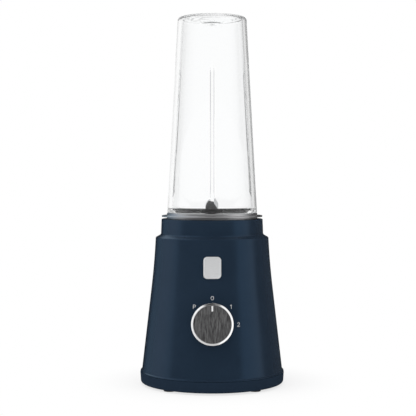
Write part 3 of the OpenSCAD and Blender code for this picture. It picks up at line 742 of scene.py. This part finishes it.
def blade_edges(s):
    """The two edges of the plate, s along its length. The two wings are ground on opposite edges."""
    a, tip, taper = abs(s), BLADE_REACH - 5, BLADE_REACH - 8
    back = -5.8 if a < tip else -5.8 + 2.8 * (a - tip) / 4.6
    front = 5.8 - 1.2 * a / taper if a < taper else 4.6 - 4.0 * (a - taper) / 6.8
    if a < 7:
        hub = math.sqrt(49 - a * a)
        back, front = min(back, -hub), max(front, hub)
    front = max(front, back + 0.4)
    return (back, front) if s >= 0 else (-front, -back)


def blade_sheet(bm, base, angle, rows, columns, upper):
    """A grid of points over the plate's underside or its top, which is ground down along one edge."""
    grid = []
    for i in range(rows + 1):
        s = (BLADE_REACH - 0.4) * (2 * i / rows - 1)
        e0, e1 = blade_edges(s)
        sharp = e1 if s >= 0 else e0
        row = []
        for k in range(columns + 1):
            w = e0 + (e1 - e0) * k / columns
            share = min(1, 0.12 + abs(w - sharp) / 2.6) if abs(s) > BLADE_HUB else 1
            z = base + blade_rise(s, angle) + (BLADE_T * share if upper else 0)
            row.append(bm.verts.new(Vector((s, w, z)) * MM))
        grid.append(row)
    return grid


def blade(name, node, base, bend, turn):
    """Two wings on a flat hub, bent in a small radius, with one edge of each ground to a bevel."""
    rows, columns = 72, 8
    bm = bmesh.new()
    under = blade_sheet(bm, base, math.radians(bend), rows, columns, False)
    over = blade_sheet(bm, base, math.radians(bend), rows, columns, True)
    for i in range(rows):
        for k in range(columns):
            bm.faces.new((under[i][k], under[i][k + 1], under[i + 1][k + 1], under[i + 1][k]))
            bm.faces.new((over[i][k], over[i + 1][k], over[i + 1][k + 1], over[i][k + 1]))
    rim = [(i, 0) for i in range(rows)] + [(rows, k) for k in range(columns)]
    rim += [(i, columns) for i in range(rows, 0, -1)] + [(0, k) for k in range(columns, 0, -1)]
    for (i, k), (m, n) in zip(rim, rim[1:] + rim[:1]):
        bm.faces.new((under[i][k], over[i][k], over[m][n], under[m][n]))
    bmesh.ops.transform(bm, matrix=Matrix.Rotation(turn, 4, "Z"), verts=bm.verts)
    put(from_bmesh(name, bm, 30), "blades", "blade_steel", node)


def bottle_outline():
    """Section of the bottle: its end is thin and domed inwards, with a pad and a gate mark in the middle."""
    top, shoulder, z0 = TOP_Z / MM, BOTTLE_Z / MM, low("bottle").z / MM
    wall, neck = BOTTLE_WALL / MM, 35.2
    end = top - 2.2
    dome = end - 4.2

    def r(z):
        return bottle_r(z * MM) / MM

    heights = [168 + i * 5.5 for i in range(27)]
    closed_end = [
        (0, dome - 2.2, 0), (1.2, dome - 2, 0.4), (2.2, dome, 0.3), (9.8, dome, 0.1), (10, dome + 1.1, 0.1),
        (12, dome + 1.2, 4), (r(end) - wall, end, 1.5),
    ]
    inside = [(r(z) - wall, z, 0) for z in reversed(heights) if z < end - 8]
    mouth = [
        (r(shoulder + 4) - wall, shoulder + 4, 1.5), (neck - wall, shoulder - 1.5, 1.5),
        (neck - wall, z0, 0.6), (neck, z0, 0.6), (neck, shoulder, 0.4), (r(shoulder), shoulder, 0.7),
    ]
    outside = [(r(z), z, 0) for z in heights if z < top - 8]
    return rounded(closed_end + inside + mouth + outside + [(r(top), top, 3.4), (0, top, 0)], 8)


def ribbed(radius, z, angle):
    """Four flow ribs, a quarter turn apart, inside the bottle's wall. They fade out at both ends."""
    foot, top, half, height = 168 * MM, 286 * MM, 1.35 * MM, 1.7 * MM
    if radius > bottle_r(z) - 0.6 * BOTTLE_WALL or not foot < z < top:
        return radius
    off = abs((angle + TURN / 8) % (TURN / 4) - TURN / 8) * radius
    fade = min(1, (top - z) / (4 * MM), (z - foot) / (4 * MM))
    return radius - height * fade * max(0, 1 - (off / (half * 1.25)) ** 2.5)


def rib_angles():
    """Angles round the bottle, close together over the ribs."""
    near = [0, 0.7, 1.3, 1.75, 2.1, 2.4, 2.75, 3.4, 4.4]
    over = [-x for x in reversed(near[1:])] + near
    between = [4.4 + (90 - 8.8) * k / 56 for k in range(1, 56)]
    return [math.radians(quarter * 90 + x) for quarter in range(4) for x in over + between]


def bottle():
    """The clear bottle, closed end up, with its ribs and thread."""
    bm = bmesh.new()
    add_lathe(bm, bottle_outline(), angles=rib_angles(), radius_at=ribbed)
    add_thread(bm)
    put(from_bmesh("clear_bottle", bm, 40), "bottle", "clear_bottle", "bottle")


def add_thread(bm):
    """Three thread segments on the neck, with tapered ends."""
    steps, neck, root = 24, 35.2, 35.1
    for third in range(3):
        middle = math.radians(90 + 120 * third)
        rings = []
        for i in range(steps + 1):
            t = 2 * i / steps - 1
            a = middle + math.radians(22) * t
            proud = 1.4 * min(1, (1 - abs(t)) * 5 + 0.05)
            flank, crest = neck + proud * 0.8, neck + proud
            section = [(root, 141), (flank, 141.2), (crest, 141.8), (flank, 142.8), (root, 143)]
            points = [Vector((x * math.cos(a), x * math.sin(a), z)) * MM for x, z in section]
            rings.append([bm.verts.new(point) for point in points])
        join_rings(bm, rings)


# ---- CAD nodes that stay as they are ----

def finish_cad_nodes():
    """Gives every CAD node the finish of its material slot."""
    slots = {s["node"]: s["material_slot"] for s in RECORD["subparts"]}
    for name, obj in frame["nodes"].items():
        obj.data.materials.clear()
        obj.data.materials.append(FINISHES[slots[name]])


# ---- stage ----

def floor_finish():
    """White floor with a soft contact shadow, which fades into the white surroundings further out."""
    f = Finish("floor_finish", 0.9, specular_ior_level=0.0)
    f.shader.inputs["Base Color"].default_value = (0.92, 0.92, 0.92, 1)
    distance = f.add("ShaderNodeVectorMath", operation="LENGTH")
    f.link(f.place, distance.inputs[0])
    fade = f.range(distance.outputs["Value"], 0.06, 0.13, 0.72, 1)
    fade.node.interpolation_type = "SMOOTHSTEP"
    bounces = f.add("ShaderNodeLightPath").outputs["Diffuse Depth"]
    white_share = f.maths("SUBTRACT", fade, f.maths("GREATER_THAN", bounces, 0.5))
    white_share.node.use_clamp = True
    white = f.add("ShaderNodeEmission")
    mix = f.add("ShaderNodeMixShader")
    f.link(white_share, mix.inputs[0])
    f.link(f.shader.outputs[0], mix.inputs[1])
    f.link(white.outputs[0], mix.inputs[2])
    f.link(mix.outputs[0], f.tree.nodes["Material Output"].inputs[0])
    return f.mat


def floor():
    """A wide round floor, which reflections don't show."""
    bm = bmesh.new()
    bmesh.ops.create_circle(bm, cap_ends=True, radius=6, segments=96)
    obj = from_bmesh("floor", bm)
    obj.data.materials.append(floor_finish())
    obj.visible_glossy = False


class Studio(Nodes):
    """The world's nodes: what each kind of ray finds around the table."""

    def __init__(self):
        world = bpy.data.worlds.new("studio")
        bpy.context.scene.world = world
        world.use_nodes = True
        super().__init__(world.node_tree)
        self.tree.nodes.clear()
        self.path = self.add("ShaderNodeLightPath")
        self.way = self.add("ShaderNodeSeparateXYZ")
        self.link(self.add("ShaderNodeTexCoord").outputs["Generated"], self.way.inputs[0])

    def vectors(self, operation, a, b):
        node = self.add("ShaderNodeVectorMath", operation=operation)
        self.link(a, node.inputs[0])
        self.link(b, node.inputs[1])
        return node.outputs[0]

    def ramp(self, value, stops):
        """A brightness or colour for each value from 0 to 1, through stops (value, level)."""
        ramp = self.add("ShaderNodeValToRGB")
        elements = ramp.color_ramp.elements
        while len(elements) < len(stops):
            elements.new(0.5)
        for element, (position, level) in zip(elements, stops):
            element.position = position
            element.color = (*level, 1) if isinstance(level, tuple) else (level, level, level, 1)
        self.link(value, ramp.inputs[0])
        return ramp.outputs[0]

    def panorama(self, levels):
        """Brightness by azimuth in degrees: 0 is the knob's side, and positive is to its right."""
        around = self.maths("ARCTAN2", self.way.outputs[0], self.maths("MULTIPLY", self.way.outputs[1], -1))
        share = self.maths("ADD", self.maths("DIVIDE", around, TURN), 0.5)
        return self.ramp(share, [(degrees / 360 + 0.5, level) for degrees, level in levels])

    def heights(self, levels):
        """Brightness by elevation in degrees."""
        up = self.maths("ARCSINE", self.way.outputs[2])
        share = self.maths("ADD", self.maths("DIVIDE", up, math.pi), 0.5)
        return self.ramp(share, [(degrees / 180 + 0.5, level) for degrees, level in levels])

    def blend(self, share, a, b):
        mix = self.add("ShaderNodeMix", data_type="RGBA")
        for socket, value in ((mix.inputs[0], share), (mix.inputs[6], a), (mix.inputs[7], b)):
            if isinstance(value, tuple):
                socket.default_value = value
            else:
                self.link(value, socket)
        return mix.outputs[2]


def clear_surroundings(studio):
    """What the clear bottle shows: white, with grey panels beside it that draw its edges."""
    beside = studio.panorama([
        (-180, 0.6), (-172, 0.9), (-160, 0.98), (-128, 0.98), (-119, 0.2), (-106, 0.25), (-95, 0.75),
        (-60, 0.88), (60, 0.88), (95, 0.5), (116, 0.25), (131, 0.3), (140, 0.85), (151, 0.85), (157, 0.28),
        (167, 0.14), (174, 0.4), (180, 0.6),
    ])
    beyond = studio.heights([(-35, 0.97), (-14, 0), (14, 0), (30, 0.97)])
    return studio.vectors("MAXIMUM", beside, beyond)


def panels(studio):
    """What plastic and metal reflect: upright panels at both sides, soft light above and a pale table."""
    upright = studio.panorama([
        (-180, 0.0), (-150, 0.02), (-140, (0.08, 0.14, 0.2)), (-120, (0.25, 0.36, 0.45)),
        (-100, (0.65, 0.72, 0.8)), (-88, 0.95), (-76, 0.95), (-68, 0.27), (46, 0.27), (53, 1.1), (86, 1.1),
        (96, 0.12), (180, 0.0),
    ])
    level = studio.heights([(20, 1), (55, 0.2)])
    above = studio.heights([(-24, 0.7), (-14, 0), (18, 0), (28, 0.95), (60, 0.95), (72, 0.04)])
    flanks = studio.panorama([
        (-174, 0), (-156, (0.66, 0.84, 1)), (-108, (0.72, 0.88, 1)), (-92, 1), (-45, 1), (-18, 0.1),
        (18, 0.1), (45, 1), (100, 1), (124, 0), (180, 0),
    ])
    table = studio.heights([(-62, 0.62), (-40, 0)])
    beside = studio.vectors("MULTIPLY", upright, level)
    overhead = studio.vectors("MULTIPLY", above, flanks)
    return studio.vectors("MAXIMUM", studio.vectors("MAXIMUM", beside, overhead), table)


def surroundings():
    """White to the eye, a soft even tent for diffuse light, and panels in reflections and clear walls."""
    studio = Studio()
    clear = clear_surroundings(studio)
    mirrored = studio.blend(studio.path.outputs["Is Singular Ray"], panels(studio), clear)
    reflected = studio.maths("MINIMUM", studio.path.outputs["Glossy Depth"], 1)
    seen = studio.blend(reflected, (1, 1, 1, 1), mirrored)
    scattered = studio.maths("MINIMUM", studio.path.outputs["Diffuse Depth"], 1)
    light = studio.blend(scattered, seen, (0.62, 0.62, 0.62, 1))
    back = studio.add("ShaderNodeBackground")
    out = studio.add("ShaderNodeOutputWorld")
    studio.link(light, back.inputs["Color"])
    studio.link(back.outputs[0], out.inputs[0])


def softbox(name, azimuth, elevation, width, height, power):
    """A rectangular light. Azimuth 0 is at the camera's side, and positive is to the right."""
    distance, target = 1.6, Vector((0, 0, 0.15))
    a, e = math.radians(azimuth), math.radians(elevation)
    way = Vector((math.sin(a) * math.cos(e), -math.cos(a) * math.cos(e), math.sin(e)))
    light = bpy.data.lights.new(name, "AREA")
    light.shape = "RECTANGLE"
    light.size, light.size_y = width, height
    light.energy = power
    obj = new_object(name, light)
    obj.location = target + way * distance
    obj.rotation_euler = way.to_track_quat("Z", "Y").to_euler()
    obj.visible_camera = False
    obj.visible_transmission = False
    obj.visible_glossy = False


def lights():
    """Soft light from both sides and above, which reflections don't show."""
    softbox("softbox_left", -60, 30, 0.9, 1.2, 9)
    softbox("softbox_right", 60, 25, 0.6, 1.2, 4)
    softbox("softbox_top", 0, 80, 1.4, 1.4, 9)


def camera():
    """Level-headed product view: the lens is long, and the camera stands a little above half height."""
    data = bpy.data.cameras.new("camera")
    data.lens = 99.5
    data.sensor_width = 36
    obj = new_object("camera", data)
    downwards = math.radians(1.5)
    obj.location = (-0.0037, -1.0408, 0.186)
    obj.rotation_euler = (math.pi / 2 - downwards, 0, 0)
    bpy.context.scene.camera = obj


def light_paths():
    """Enough bounces for light to leave the thick rim of the clear bottle."""
    cycles = bpy.context.scene.cycles
    cycles.max_bounces = 40
    cycles.transmission_bounces = 40
    cycles.glossy_bounces = 40


finish_cad_nodes()
housing()
knob_pad()
band()
feet()
badge()
cord_gland()
pin_spring()
dial_marks()
knob_shell()
knob_disc()
knob_pointer()
holder_ring()
blade("blade_wings_low", "blade_lower", 147.8, -12, 0)
blade("blade_wings_high", "blade_upper", 149.4, 42, math.pi / 2)
bottle()
floor()
surroundings()
lights()
camera()
light_paths()
bpy.context.scene.view_settings.view_transform = "Standard"
